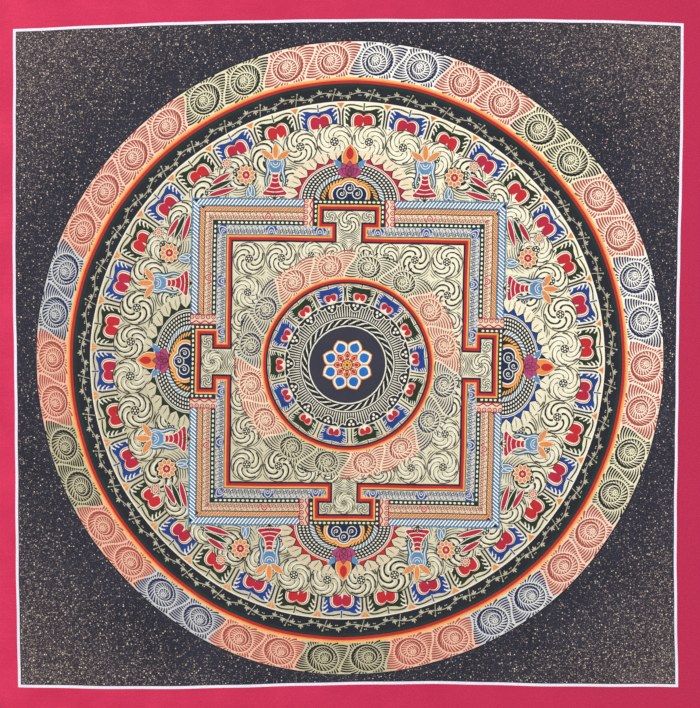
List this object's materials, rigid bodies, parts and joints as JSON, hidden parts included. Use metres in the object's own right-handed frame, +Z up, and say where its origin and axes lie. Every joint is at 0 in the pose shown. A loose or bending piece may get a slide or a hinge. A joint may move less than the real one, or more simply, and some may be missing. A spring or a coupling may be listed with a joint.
{
  "type": "painted mandala thangka, unmounted",
  "caption": "Square hand-painted cotton canvas with a round mandala, shown hanging by its top edge, with a painted margin and a plain cut edge.",
  "frame": {"origin": "middle of the top edge, in the thickness of the canvas", "axes": "+Z up, the painted face looks along -Y, +X to the viewer's right"},
  "size_m": [0.5002, 0.0146, 0.5099],
  "materials": {
    "painted_canvas": "sized cotton canvas under matt opaque water paint, with fine gilt brushwork over a charcoal ground and a crimson margin"
  },
  "bodies": {
    "root": {"painted_canvas": "painted_canvas"}
  },
  "joints": []
}
